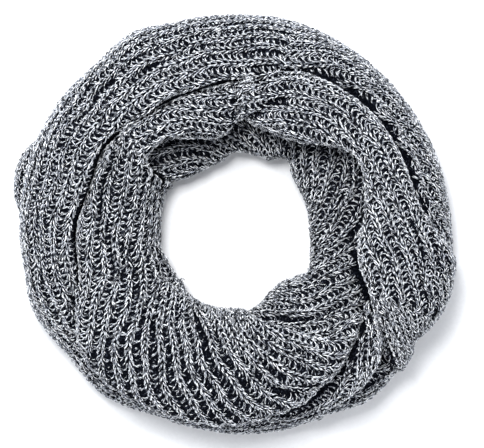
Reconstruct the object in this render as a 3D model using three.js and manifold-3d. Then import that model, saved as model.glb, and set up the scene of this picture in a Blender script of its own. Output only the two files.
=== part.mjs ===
// An infinity scarf of chunky ribbed knit, wound twice and laid down as a ring.
// Millimetres, +Z up. The origin is on the table, in the middle of the ring's footprint.
//
// The scarf shows four stretches. The under turn lies on the table all the way round.
// The outer, left and right stretches lie on it. Each is one rounded solid for the
// layers inside it, with raised ribs on its outside and a groove between the layers
// where its edge shows.
//
// Places on the ring are a turn, in degrees anticlockwise from the right, and a radius
// from the ring's middle. Places round the roll are an angle: 0 points away from the
// ring's middle, 90 up, and 180 into the hole.
import * as THREE from "three";
import Module from "manifold-3d";

const wasm = await Module();
wasm.setup();

const ringMiddle = { x: 1.4, y: -3 }; // against the middle of the footprint
const rollRadius = 126; // from the ring's middle to the middle of the roll
const rollHeight = 18; // of the roll's middle above the table
const fullness = 2.3; // of the roll's outline: 2 is an ellipse, more is squarer
const lowFullness = 3; // the same below the roll's middle, where it is pressed flat
const lowDepth = 22; // of the outline below the roll's middle, before the table cuts it
const footAngle = 17; // below the roll's middle, where a stretch meets the table
const corner = 35; // below the roll's middle, where the under turn's flat base starts
const sideReach = 60; // for each radian down a side
const usualReach = 42; // from the roll's middle to the cloth
const seamGap = 0.3; // each side of the sewn seam and of a crease
const clearance = 0.9; // least, between a stretch and the cloth that it lies on
const sliver = 0.03; // height of the triangles that are merged after a bed is cut
const bedding = 1.6; // between a stretch and the cloth that it lies on
const edgeWall = 1.6; // the least thickness at a stretch's edge
const ribDepth = 2.2; // from a rib's crest to the furrow beside it
const ribWander = 0.08; // of the spacing of the ribs, by which each wave shifts them
// The waves' lengths for each radian along x and y, and where each one starts.
const ribWaves = [
  { alongX: 9, alongY: 14, start: 0 },
  { alongX: -15, alongY: 8, start: 2 },
];
const edgeFade = 6; // the width over which ribs flatten at a stretch's edge
const lowFade = 3; // how fast the outer edge's rounding fades below the roll's middle
const shortest = 1; // between two points of an outline
// The groove between the layers at an edge starts on an edge this thick, is at its
// deepest on one that is thicker by fullOver, and takes no more than a share of its width.
const layerGroove = { depth: 2.2, from: 2, fullOver: 5, most: 0.25 };
const insideSteps = { under: 4, upper: 14 }; // along the base or the bed of a section
const stationStep = 6; // degrees between sections
const scanStep = 1.5; // degrees between points of an outline while it is measured
const halvings = 30; // in the search for an angle
const degree = Math.PI / 180;

// The outline that the upper stretches fill together: the hole's radius, the outer
// radius and the height of the crown.
const envelope = [
  { turn: 0, hole: 68, rim: 187, crown: 80 },
  { turn: 18, hole: 68, rim: 185, crown: 79 },
  { turn: 36, hole: 68, rim: 184, crown: 81 },
  { turn: 60, hole: 70, rim: 185, crown: 82 },
  { turn: 75, hole: 69, rim: 186, crown: 80 },
  { turn: 90, hole: 68, rim: 184, crown: 76 },
  { turn: 105, hole: 68, rim: 184, crown: 78 },
  { turn: 118, hole: 68, rim: 190, crown: 80 },
  { turn: 130, hole: 69, rim: 185, crown: 80 },
  { turn: 145, hole: 74, rim: 187, crown: 80 },
  { turn: 160, hole: 68, rim: 187, crown: 79 },
  { turn: 175, hole: 66, rim: 186, crown: 78 },
  { turn: 190, hole: 69, rim: 185, crown: 78 },
  { turn: 201, hole: 72, rim: 189, crown: 78 },
  { turn: 220, hole: 73, rim: 182, crown: 80 },
  { turn: 230, hole: 71, rim: 184, crown: 80 },
  { turn: 250, hole: 72, rim: 176, crown: 80 },
  { turn: 270, hole: 71, rim: 178, crown: 80 },
  { turn: 290, hole: 75, rim: 180, crown: 77 },
  { turn: 312, hole: 78, rim: 187, crown: 76 },
  { turn: 319, hole: 77, rim: 190, crown: 76.5 },
  { turn: 324, hole: 76, rim: 187, crown: 77 },
  { turn: 328, hole: 75, rim: 181.5, crown: 78 },
  { turn: 332, hole: 74, rim: 185, crown: 79 },
  { turn: 338, hole: 72, rim: 190, crown: 79.5 },
  { turn: 342, hole: 70, rim: 191.5, crown: 80 },
  { turn: 352, hole: 68, rim: 190, crown: 80 },
];

// The under turn. It swells at the lower right, where it comes up between the others.
// Its sections give the hole, rim and crown as above, and its ribs: slant is how many
// millimetres they move outwards over the crown for each degree of turn, and pitch is
// their spacing along the section. perRib is how many points of an outline each rib has.
const underTurn = {
  name: "under_turn",
  perRib: 2,
  closed: true,
  sections: [
    { turn: 0, hole: 65.4, rim: 177, crown: 52, slant: 1.2, pitch: 13 },
    { turn: 30, hole: 65.8, rim: 177, crown: 50, slant: 1.2, pitch: 13 },
    { turn: 42, hole: 68, rim: 177, crown: 47, slant: 1.2, pitch: 13 },
    { turn: 54, hole: 75.5, rim: 177, crown: 41, slant: 1.1, pitch: 13 },
    { turn: 66, hole: 67, rim: 177, crown: 36, slant: 1, pitch: 12.5 },
    { turn: 90, hole: 67.5, rim: 176, crown: 32, slant: 0.8, pitch: 12 },
    { turn: 102, hole: 60.6, rim: 176, crown: 32, slant: 0.8, pitch: 12 },
    { turn: 120, hole: 59, rim: 178, crown: 33, slant: 0.8, pitch: 12 },
    { turn: 132, hole: 61, rim: 177, crown: 37, slant: 0.6, pitch: 12 },
    { turn: 145, hole: 70, rim: 177, crown: 42, slant: 0.4, pitch: 12 },
    { turn: 153, hole: 72, rim: 180, crown: 42, slant: 0.2, pitch: 12 },
    { turn: 159, hole: 71, rim: 190, crown: 42, slant: 0, pitch: 12 },
    { turn: 165, hole: 70, rim: 194, crown: 42, slant: 0, pitch: 12 },
    { turn: 171, hole: 70, rim: 191, crown: 42, slant: 0, pitch: 12 },
    { turn: 179, hole: 69, rim: 179, crown: 42, slant: 0, pitch: 12 },
    { turn: 195, hole: 71, rim: 177, crown: 42, slant: 0.2, pitch: 12 },
    { turn: 213, hole: 66.2, rim: 177, crown: 42, slant: 0.4, pitch: 12 },
    { turn: 240, hole: 75, rim: 170, crown: 42, slant: 0.6, pitch: 12 },
    { turn: 270, hole: 76, rim: 170, crown: 46, slant: 0.8, pitch: 12 },
    { turn: 285, hole: 71, rim: 172, crown: 55, slant: 0.8, pitch: 12 },
    { turn: 300, hole: 63.6, rim: 182.5, crown: 65, slant: 0.9, pitch: 12.5 },
    { turn: 309, hole: 62, rim: 188, crown: 68, slant: 1, pitch: 12.5 },
    { turn: 318, hole: 66, rim: 186, crown: 66, slant: 1, pitch: 12.5 },
    { turn: 324, hole: 70, rim: 180.5, crown: 63, slant: 1, pitch: 12.5 },
    { turn: 329, hole: 74, rim: 176, crown: 60, slant: 1.1, pitch: 13 },
    { turn: 345, hole: 68.5, rim: 177, crown: 54, slant: 1.2, pitch: 13 },
  ],
};

// The outer stretch: round the rim from under the right stretch, past the top and left,
// under the left stretch at the bottom, and up again beside it as a pale roll.
// outer and inner are the radii of its two edges. Past the rim, or inside the hole, the
// radius counts on down the side, as far as the table. lift is how far it stands above
// the outline that it shares. At an edge the cloth rounds off: it falls by a drop, over
// the width of the rounding.
const outerStretch = {
  name: "outer_stretch",
  perRib: 3,
  liesOn: [underTurn],
  outerEdge: { drop: 3, round: 8 },
  innerEdge: { drop: 10, round: 13 },
  sections: [
    { turn: -12, outer: 210, inner: 160, lift: -8, slant: -1.9, pitch: 14 },
    { turn: 0, outer: 210, inner: 152, lift: -5, slant: -1.8, pitch: 13.5 },
    { turn: 18, outer: 210, inner: 144, lift: -4, slant: -1.2, pitch: 13 },
    { turn: 42, outer: 210, inner: 141, lift: -4, slant: -0.9, pitch: 12.5 },
    { turn: 60, outer: 210, inner: 136, lift: -3, slant: -0.7, pitch: 12 },
    { turn: 78, outer: 210, inner: 124, lift: -1, slant: -0.5, pitch: 12 },
    { turn: 90, outer: 210, inner: 124, lift: 1, slant: -0.4, pitch: 12 },
    { turn: 108, outer: 210, inner: 119.5, lift: 3, slant: -0.1, pitch: 12 },
    { turn: 126, outer: 210, inner: 121, lift: 3, slant: 0, pitch: 12 },
    { turn: 138, outer: 210, inner: 125, lift: 2, slant: 0, pitch: 12 },
    { turn: 150, outer: 210, inner: 130.5, lift: 2, slant: 0, pitch: 12 },
    { turn: 162, outer: 210, inner: 128.5, lift: 2, slant: 0, pitch: 12 },
    { turn: 170, outer: 210, inner: 131, lift: 2, slant: 0, pitch: 12 },
    { turn: 180, outer: 210, inner: 136.5, lift: 2, slant: 0, pitch: 12 },
    { turn: 192, outer: 210, inner: 138, lift: 1, slant: 0, pitch: 12 },
    { turn: 198, outer: 210, inner: 141, lift: -1, slant: 0, pitch: 12 },
    { turn: 210, outer: 210, inner: 142, lift: -6, slant: 0.2, pitch: 12 },
    { turn: 222, outer: 210, inner: 142, lift: -10, slant: 0.2, pitch: 12 },
    { turn: 246, outer: 210, inner: 142, lift: -11, slant: 0, pitch: 12 },
    { turn: 270, outer: 210, inner: 144, lift: -11, slant: -0.3, pitch: 12 },
    { turn: 280, outer: 210, inner: 146, lift: -10, slant: -0.6, pitch: 12 },
    { turn: 285, outer: 192, inner: 148, lift: -10, slant: -0.7, pitch: 12 },
    { turn: 292, outer: 181, inner: 149, lift: -8, slant: -0.8, pitch: 12 },
    { turn: 300, outer: 176, inner: 150, lift: -1, slant: -0.9, pitch: 11 },
    { turn: 306, outer: 172, inner: 148, lift: 3, slant: -1.1, pitch: 10 },
    { turn: 312, outer: 168.5, inner: 145, lift: 5, slant: -1.3, pitch: 9 },
    { turn: 318, outer: 163, inner: 139.5, lift: 5, slant: -1.4, pitch: 9 },
    { turn: 324, outer: 156, inner: 134, lift: 3, slant: -1.5, pitch: 9 },
    { turn: 330, outer: 146, inner: 128, lift: -3, slant: -1.5, pitch: 9 },
  ],
};

// The left stretch: from the seam at the top, down the left beside the hole, then out
// over the outer stretch at the bottom, where its ribs run across the ring.
const leftStretch = {
  name: "left_stretch",
  perRib: 3,
  liesOn: [underTurn, outerStretch],
  outerEdge: { drop: 12, round: 13 },
  innerEdge: { drop: 10, round: 12 },
  sections: [
    { turn: 90.2, outer: 124, inner: 83, lift: -1, slant: 0.6, pitch: 12 },
    { turn: 96, outer: 121.2, inner: 77, lift: 0, slant: 0.6, pitch: 12 },
    { turn: 102, outer: 120, inner: 75, lift: 0, slant: 0.7, pitch: 12 },
    { turn: 108, outer: 119.5, inner: 77, lift: 0, slant: 0.7, pitch: 12 },
    { turn: 120, outer: 120.2, inner: 84.5, lift: 0, slant: 0.5, pitch: 12 },
    { turn: 128, outer: 121.6, inner: 94, lift: 0, slant: 0.2, pitch: 12 },
    { turn: 138, outer: 125, inner: 93.5, lift: 0, slant: -0.2, pitch: 12 },
    { turn: 144, outer: 127.6, inner: 89, lift: -1, slant: -0.4, pitch: 12 },
    { turn: 150, outer: 130.5, inner: 45, lift: -2, slant: -0.4, pitch: 12 },
    { turn: 162, outer: 128.5, inner: 45, lift: -4, slant: -0.2, pitch: 12 },
    { turn: 170, outer: 131, inner: 45, lift: -4, slant: 0, pitch: 12 },
    { turn: 180, outer: 136.5, inner: 45, lift: -3, slant: 0.2, pitch: 12 },
    { turn: 192, outer: 138, inner: 45, lift: -1, slant: 0.5, pitch: 12 },
    { turn: 198, outer: 141, inner: 45, lift: 0, slant: 1, pitch: 13.5 },
    { turn: 204, outer: 150, inner: 73.5, lift: 1, slant: 1.7, pitch: 15 },
    { turn: 210, outer: 159, inner: 75, lift: 2, slant: 2.3, pitch: 17.5 },
    { turn: 216, outer: 167.5, inner: 74.5, lift: 3, slant: 3, pitch: 20 },
    { turn: 222, outer: 173, inner: 73.5, lift: 3, slant: 3.1, pitch: 20 },
    { turn: 230, outer: 174.5, inner: 45, lift: 3, slant: 3, pitch: 20.5 },
    { turn: 252, outer: 171, inner: 45, lift: 3, slant: 3, pitch: 21 },
    { turn: 264, outer: 171, inner: 45, lift: 3, slant: 2.9, pitch: 21 },
    { turn: 276, outer: 167.5, inner: 72, lift: 3, slant: 2.9, pitch: 20 },
    { turn: 285, outer: 164.5, inner: 79, lift: 3, slant: 2.5, pitch: 19 },
    { turn: 294, outer: 160, inner: 89.5, lift: 4, slant: 2.4, pitch: 17.5 },
    { turn: 300, outer: 154.5, inner: 100, lift: 4, slant: 2.3, pitch: 17 },
    { turn: 306, outer: 150, inner: 113, lift: 3, slant: 2.2, pitch: 16 },
    { turn: 312, outer: 145.5, inner: 121, lift: 1, slant: 2, pitch: 15 },
    { turn: 318, outer: 140.5, inner: 123, lift: -1, slant: 1.8, pitch: 14.5 },
    { turn: 324, outer: 135, inner: 124.5, lift: -4, slant: 1.6, pitch: 14 },
  ],
};

// The right stretch: from the seam at the top, over the outer stretch to the right, and
// down over everything to the lower right, where its edge turns under.
const rightStretch = {
  name: "right_stretch",
  perRib: 3,
  liesOn: [underTurn, outerStretch],
  outerEdge: { drop: 12, round: 14 },
  innerEdge: { drop: 15, round: 16 },
  sections: [
    { turn: -41, outer: 210, inner: 176, lift: -1, slant: -2.3, pitch: 15 },
    { turn: -36, outer: 210, inner: 160, lift: 3, slant: -2.2, pitch: 15 },
    { turn: -30, outer: 210, inner: 137, lift: 5, slant: -2, pitch: 15 },
    { turn: -24, outer: 210, inner: 123, lift: 6, slant: -1.9, pitch: 15 },
    { turn: -18, outer: 210, inner: 110, lift: 6, slant: -1.7, pitch: 14.5 },
    { turn: -15, outer: 210, inner: 106, lift: 6, slant: -1.6, pitch: 14 },
    { turn: -8, outer: 190, inner: 102.5, lift: 5, slant: -1.4, pitch: 13.5 },
    { turn: -3, outer: 177, inner: 103, lift: 5, slant: -1.2, pitch: 13 },
    { turn: 1, outer: 168, inner: 104.5, lift: 5, slant: -1, pitch: 13 },
    { turn: 6, outer: 160, inner: 108, lift: 5, slant: -0.8, pitch: 12.5 },
    { turn: 12, outer: 155.5, inner: 111, lift: 5, slant: -0.6, pitch: 12 },
    { turn: 30, outer: 154, inner: 118, lift: 5, slant: -0.3, pitch: 12 },
    { turn: 38, outer: 153.5, inner: 109.5, lift: 5, slant: -0.3, pitch: 12 },
    { turn: 45, outer: 152, inner: 97.5, lift: 4, slant: -0.4, pitch: 12 },
    { turn: 54, outer: 149, inner: 87.5, lift: 4, slant: -0.5, pitch: 12 },
    { turn: 66, outer: 145, inner: 83.5, lift: 4, slant: -0.7, pitch: 12 },
    { turn: 72, outer: 140, inner: 84, lift: 3, slant: -0.9, pitch: 12 },
    { turn: 80, outer: 132.5, inner: 84, lift: 2, slant: -1.2, pitch: 12 },
    { turn: 89.8, outer: 124, inner: 83, lift: -1, slant: -1.5, pitch: 12 },
  ],
};

// The largest folds and the creases beside the stretches, each a soft trough along a
// line between two places, which is straight on the ring rolled out flat.
const folds = [
  { on: "under_turn", turn: 8, radius: 80, toTurn: 28, toRadius: 100, depth: 5, width: 5 },
  { on: "under_turn", turn: 298, radius: 88, toTurn: 324, toRadius: 112, depth: 3, width: 5 },
  { on: "under_turn", turn: 296, radius: 181, toTurn: 313, toRadius: 174, depth: 7, width: 8 },
  { on: "under_turn", turn: 313, radius: 174, toTurn: 326, toRadius: 160, depth: 8, width: 8 },
  { on: "under_turn", turn: 292, radius: 164, toTurn: 312, toRadius: 150, depth: 10, width: 9 },
  { on: "under_turn", turn: 312, radius: 150, toTurn: 325, toRadius: 136, depth: 10, width: 9 },
  { on: "under_turn", turn: 56, radius: 86, toTurn: 40, toRadius: 103, depth: 7, width: 8 },
  { on: "under_turn", turn: 40, radius: 103, toTurn: 12, toRadius: 107, depth: 8, width: 9 },
  { on: "under_turn", turn: 12, radius: 107, toTurn: -8, toRadius: 99, depth: 8, width: 9 },
  { on: "under_turn", turn: -8, radius: 99, toTurn: -20, toRadius: 109, depth: 9, width: 9 },
  { on: "under_turn", turn: -20, radius: 109, toTurn: -33, toRadius: 139, depth: 10, width: 9 },
  { on: "outer_stretch", turn: 130, radius: 161, toTurn: 154, toRadius: 160, depth: 4, width: 4 },
  { on: "outer_stretch", turn: 104, radius: 158, toTurn: 124, toRadius: 150, depth: 3, width: 4 },
  { on: "outer_stretch", turn: 164, radius: 168, toTurn: 208, toRadius: 172, depth: 3, width: 3.5 },
  { on: "outer_stretch", turn: 8, radius: 173, toTurn: 44, toRadius: 172, depth: 5, width: 5 },
  { on: "outer_stretch", turn: 82, radius: 134, toTurn: 66, toRadius: 149, depth: 3, width: 6 },
  { on: "outer_stretch", turn: 66, radius: 149, toTurn: 42, toRadius: 156, depth: 10, width: 7 },
  { on: "outer_stretch", turn: 42, radius: 156, toTurn: 12, toRadius: 158, depth: 11, width: 8 },
  { on: "outer_stretch", turn: 12, radius: 158, toTurn: 0, toRadius: 171, depth: 10, width: 7 },
  { on: "outer_stretch", turn: 204, radius: 152, toTurn: 216, toRadius: 170, depth: 8, width: 6 },
  { on: "outer_stretch", turn: 216, radius: 170, toTurn: 240, toRadius: 177, depth: 7, width: 6 },
  { on: "outer_stretch", turn: 270, radius: 175, toTurn: 294, toRadius: 164, depth: 9, width: 6 },
  { on: "outer_stretch", turn: 294, radius: 164, toTurn: 312, toRadius: 150, depth: 13, width: 7 },
  { on: "outer_stretch", turn: 312, radius: 150, toTurn: 325, toRadius: 136, depth: 13, width: 7 },
  { on: "outer_stretch", turn: 333, radius: 142, toTurn: 322, toRadius: 164, depth: 9, width: 7 },
  { on: "left_stretch", turn: 150, radius: 116, toTurn: 174, toRadius: 112, depth: 7, width: 7 },
  { on: "left_stretch", turn: 174, radius: 112, toTurn: 200, toRadius: 102, depth: 7, width: 8 },
  { on: "left_stretch", turn: 190, radius: 90, toTurn: 232, toRadius: 108, depth: 6, width: 7 },
  { on: "left_stretch", turn: 285, radius: 141, toTurn: 297, toRadius: 152, depth: 6, width: 5 },
  { on: "left_stretch", turn: 243, radius: 74, toTurn: 256, toRadius: 106, depth: 5, width: 5 },
  { on: "right_stretch", turn: 70, radius: 115, toTurn: 86, toRadius: 86, depth: 7, width: 5 },
  { on: "right_stretch", turn: -20, radius: 165, toTurn: 2, toRadius: 150, depth: 3, width: 5 },
];

const clamp = (value, low, high) => Math.min(high, Math.max(low, value));

// The table's sizes at a turn: a smooth curve through each column that never overshoots.
function sizesAt(table, turn, closed) {
  const rows = closed
    ? [-360, 0, 360].flatMap((by) => table.map((row) => ({ ...row, turn: row.turn + by })))
    : table;
  const at = clamp(turn, rows[0].turn, rows.at(-1).turn);
  const i = clamp(rows.findIndex((row) => row.turn > at) - 1, 0, rows.length - 2);
  const last = at >= rows.at(-1).turn ? rows.length - 2 : i;
  const rise = (k, column) =>
    k < 0 || k > rows.length - 2
      ? 0
      : (rows[k + 1][column] - rows[k][column]) / (rows[k + 1].turn - rows[k].turn);
  const slope = (k, column) => {
    const before = rise(k - 1, column);
    const after = rise(k, column);
    return before * after <= 0 ? 0 : (2 * before * after) / (before + after);
  };
  const span = rows[last + 1].turn - rows[last].turn;
  const t = (at - rows[last].turn) / span;
  const sizes = {};
  for (const column of Object.keys(rows[0])) {
    const step = rows[last + 1][column] - rows[last][column];
    const ease = t * t * (3 - 2 * t);
    const leave = t * (1 - t) * (1 - t) * span * slope(last, column);
    const arrive = t * t * (1 - t) * span * slope(last + 1, column);
    sizes[column] = rows[last][column] + ease * step + leave - arrive;
  }
  return sizes;
}

// How far an outline reaches from the roll's middle, at an angle round the roll.
function reachOf({ hole, rim, crown }, angle) {
  const across = Math.cos(angle) > 0 ? rim - rollRadius : rollRadius - hole;
  const upward = Math.sin(angle) > 0;
  const power = upward ? fullness : lowFullness;
  const high = upward ? crown - rollHeight : lowDepth;
  const sum =
    Math.abs(Math.cos(angle) / across) ** power + Math.abs(Math.sin(angle) / high) ** power;
  return sum ** (-1 / power);
}

// The same, cut off by the table.
function aboveTable(reach, angle) {
  return Math.sin(angle) < 0 ? Math.min(reach, -rollHeight / Math.sin(angle)) : reach;
}

// The angle round the roll at which the envelope has a radius from the ring's middle.
// A radius past the rim, or in the hole, counts on down the side as far as the table.
function angleOfRadius(turn, radius) {
  const shape = sizesAt(envelope, turn, true);
  const down = (past) => Math.min(footAngle * degree, past / sideReach);
  if (radius >= shape.rim) return -down(radius - shape.rim);
  if (radius <= shape.hole) return Math.PI + down(shape.hole - radius);
  let low = 0;
  let high = Math.PI;
  for (let i = 0; i < halvings; i += 1) {
    const middle = (low + high) / 2;
    const there = rollRadius + reachOf(shape, middle) * Math.cos(middle);
    if (there > radius) low = middle;
    else high = middle;
  }
  return (low + high) / 2;
}

// A point of the section at a turn, as a place on the ring.
function place(turn, angle, reach) {
  const radius = rollRadius + reach * Math.cos(angle);
  return new THREE.Vector3(
    ringMiddle.x + radius * Math.cos(turn * degree),
    ringMiddle.y + radius * Math.sin(turn * degree),
    Math.max(0, rollHeight + reach * Math.sin(angle)),
  );
}

// 1 on the top of the roll, falling to 0 half way up its sides.
const onTop = (angle) => clamp(Math.sin(angle) * 2, 0, 1);

// How deep the folds of a stretch are at a place, from its distance to each line.
function foldDepth(stretch, turn, radius) {
  let depth = 0;
  for (const fold of folds.filter((each) => each.on === stretch.name)) {
    const turned = ((((turn - fold.turn + 180) % 360) + 360) % 360) - 180;
    const here = new THREE.Vector2(turned * degree * fold.radius, radius - fold.radius);
    const along = new THREE.Vector2(
      (fold.toTurn - fold.turn) * degree * fold.radius,
      fold.toRadius - fold.radius,
    );
    const share = clamp(here.dot(along) / along.lengthSq(), 0, 1);
    const off = here.distanceTo(along.multiplyScalar(share));
    depth = Math.max(depth, fold.depth * Math.exp(-((off / fold.width) ** 2)));
  }
  return depth;
}

// The two edges of a stretch at a turn, as angles round the roll.
function edgesAt(stretch, turn) {
  if (stretch.closed) {
    return { outer: -corner * degree, inner: Math.PI + corner * degree };
  }
  const { outer, inner } = sizesAt(stretch.sections, turn);
  const half = seamGap / usualReach;
  return {
    outer: angleOfRadius(turn, outer) + half,
    inner: angleOfRadius(turn, inner) - half,
  };
}

function spans(stretch, turn) {
  if (stretch.closed) return true;
  return turn >= stretch.sections[0].turn && turn <= stretch.sections.at(-1).turn;
}

// The reach of the cloth under a stretch, with room for the width of its own facets.
function bedReach(stretch, turn, angle, spread) {
  let most = 0;
  for (const lower of stretch.liesOn) {
    for (const shift of [-360, 0, 360]) {
      if (!spans(lower, turn + shift)) continue;
      if (lower.closed && shift !== 0) continue;
      const edges = edgesAt(lower, turn + shift);
      for (const near of [-spread, 0, spread]) {
        if (angle + near < edges.outer || angle + near > edges.inner) continue;
        most = Math.max(most, smoothReach(lower, turn + shift, angle + near));
      }
    }
  }
  return most + bedding;
}

// 1 at an edge and 0 a rounding's width inside it, as a quarter circle falls.
function roundOff(distance, width) {
  const inside = clamp(distance / width, 0, 1);
  return 1 - Math.sqrt(1 - (1 - inside) ** 2);
}

// The reach of a stretch's outside without its ribs, with its folds or without.
function smoothReach(stretch, turn, angle, folded = true) {
  const foldsAt = (reach) =>
    folded ? onTop(angle) * foldDepth(stretch, turn, rollRadius + reach * Math.cos(angle)) : 0;
  if (stretch.closed) {
    const own = reachOf(sizesAt(stretch.sections, turn, true), angle);
    return aboveTable(own - foldsAt(own), angle);
  }
  const { lift } = sizesAt(stretch.sections, turn);
  const edges = edgesAt(stretch, turn);
  const full = reachOf(sizesAt(envelope, turn, true), angle);
  const outer = roundOff((angle - edges.outer) * full, stretch.outerEdge.round);
  const inner = roundOff((edges.inner - angle) * full, stretch.innerEdge.round);
  const reach =
    full +
    lift * onTop(angle) -
    stretch.outerEdge.drop * outer * clamp(1 + Math.sin(angle) * lowFade, 0, 1) -
    stretch.innerEdge.drop * inner -
    foldsAt(full);
  return aboveTable(Math.max(reach, leastReach(stretch, turn, angle)), angle);
}

// The least reach of an upper stretch's outside: above its bed by the edge's thickness.
function leastReach(stretch, turn, angle) {
  return stretch.closed ? 0 : bedReach(stretch, turn, angle, 0) + edgeWall;
}

// By how much of their spacing the ribs wander at a place, as on cloth that was thrown down.
function wander({ x, y }) {
  const wave = ({ alongX, alongY, start }) => Math.sin(x / alongX + y / alongY + start);
  return ribWander * ribWaves.reduce((sum, each) => sum + wave(each), 0);
}

// The outside of a section, with a key at each point that counts steps of the rib
// pattern inwards. Ribs are spaced along the cloth as it would be without its folds.
function measureOutside(stretch, turn) {
  const edges = edgesAt(stretch, turn);
  const count = Math.ceil((edges.inner - edges.outer) / (scanStep * degree));
  const points = [];
  let along = 0;
  let before = null;
  for (let i = 0; i <= count; i += 1) {
    const angle = edges.outer + ((edges.inner - edges.outer) * i) / count;
    const unfolded = place(turn, angle, smoothReach(stretch, turn, angle, false));
    along += before ? unfolded.distanceTo(before) : 0;
    before = unfolded;
    points.push({ angle, along, at: place(turn, angle, smoothReach(stretch, turn, angle)) });
  }
  const crown = points.reduce((best, point) =>
    Math.abs(point.angle - Math.PI / 2) < Math.abs(best.angle - Math.PI / 2) ? point : best,
  ).along;
  const { pitch } = sizesAt(stretch.sections, turn, stretch.closed);
  const crossed = ribsCrossed(stretch, turn);
  for (const point of points) {
    const ribs = crossed - (crown - point.along) / pitch + wander(point.at);
    point.key = ribs * stretch.perRib;
  }
  return points;
}

// How many ribs have crossed the crown outwards, from a stretch's first section on.
// On the closed turn it comes out as a whole number all round, so that the ribs meet.
function ribsCrossed(stretch, turn) {
  const count = (to) => {
    let crossed = 0;
    for (let at = stretch.closed ? 0 : stretch.sections[0].turn; at < to; at += 1) {
      const { slant, pitch } = sizesAt(stretch.sections, at, stretch.closed);
      crossed += (slant / pitch) * Math.min(1, to - at);
    }
    return crossed;
  };
  if (!stretch.closed) return count(turn);
  const allRound = count(360);
  return count(turn) + ((Math.round(allRound) - allRound) * turn) / 360;
}

// The points of a section's outside: both edges, and the crests and furrows between.
// Each has a whole key, so that ribs join from section to section.
function outsidePoints(stretch, turn) {
  const scan = measureOutside(stretch, turn);
  const length = scan.at(-1).along;
  const points = [{ key: -Infinity, angle: scan[0].angle, at: scan[0].at }];
  for (let key = Math.ceil(scan[0].key); key <= scan.at(-1).key; key += 1) {
    const i = clamp(scan.findIndex((point) => point.key >= key), 1, scan.length - 1);
    const share = (key - scan[i - 1].key) / (scan[i].key - scan[i - 1].key);
    const between = (name) => scan[i - 1][name] + share * (scan[i][name] - scan[i - 1][name]);
    const fromEdge = Math.min(between("along"), length - between("along"));
    if (fromEdge < shortest) continue;
    const angle = between("angle");
    const furrow = key % stretch.perRib === 0 ? ribDepth * clamp(fromEdge / edgeFade, 0, 1) : 0;
    const reach = smoothReach(stretch, turn, angle) - furrow;
    const least = leastReach(stretch, turn, angle);
    points.push({ key, angle, at: place(turn, angle, Math.max(reach, least)) });
  }
  points.push({ key: Infinity, angle: scan.at(-1).angle, at: scan.at(-1).at });
  return points;
}

// The rest of the under turn's section: its flat base, from the inner corner back.
function basePoints(stretch, turn) {
  const edges = edgesAt(stretch, turn);
  const points = [];
  for (let i = 1; i < insideSteps.under; i += 1) {
    const share = i / insideSteps.under;
    const angle = edges.inner + (Math.PI * 2 + edges.outer - edges.inner) * share;
    points.push({ angle, at: place(turn, angle, -rollHeight / Math.sin(angle)) });
  }
  return points;
}

// The rest of an upper stretch's section, from the inner edge back to the outer one: the
// edge's groove, the bed that it lies on, and the other edge's groove.
function bedPoints(stretch, turn) {
  const edges = edgesAt(stretch, turn);
  const width = edges.inner - edges.outer;
  const spread = width / insideSteps.upper;
  const points = [];
  for (let i = 0; i <= insideSteps.upper; i += 1) {
    const angle = edges.inner - spread * i;
    points.push({ angle, at: place(turn, angle, bedReach(stretch, turn, angle, spread)) });
  }
  const groove = (edge, inwards) => {
    const top = smoothReach(stretch, turn, edge);
    const bottom = bedReach(stretch, turn, edge, spread);
    const thick = (top - bottom - layerGroove.from) / layerGroove.fullOver;
    const middle = (top + bottom) / 2;
    const turnIn = Math.min(
      (layerGroove.depth * clamp(thick, 0, 1)) / middle,
      width * layerGroove.most,
    );
    const angle = edge + inwards * turnIn;
    return { angle, at: place(turn, angle, middle) };
  };
  return [groove(edges.inner, -1), ...points, groove(edges.outer, 1)];
}

// The turns at which a stretch has a section.
function stations(stretch) {
  const from = stretch.closed ? 0 : stretch.sections[0].turn;
  const to = stretch.closed ? 360 - stationStep : stretch.sections.at(-1).turn;
  const turns = [from];
  const first = Math.ceil((from + 1) / stationStep) * stationStep;
  for (let turn = first; turn < to - 1; turn += stationStep) turns.push(turn);
  turns.push(to);
  return turns;
}

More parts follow.
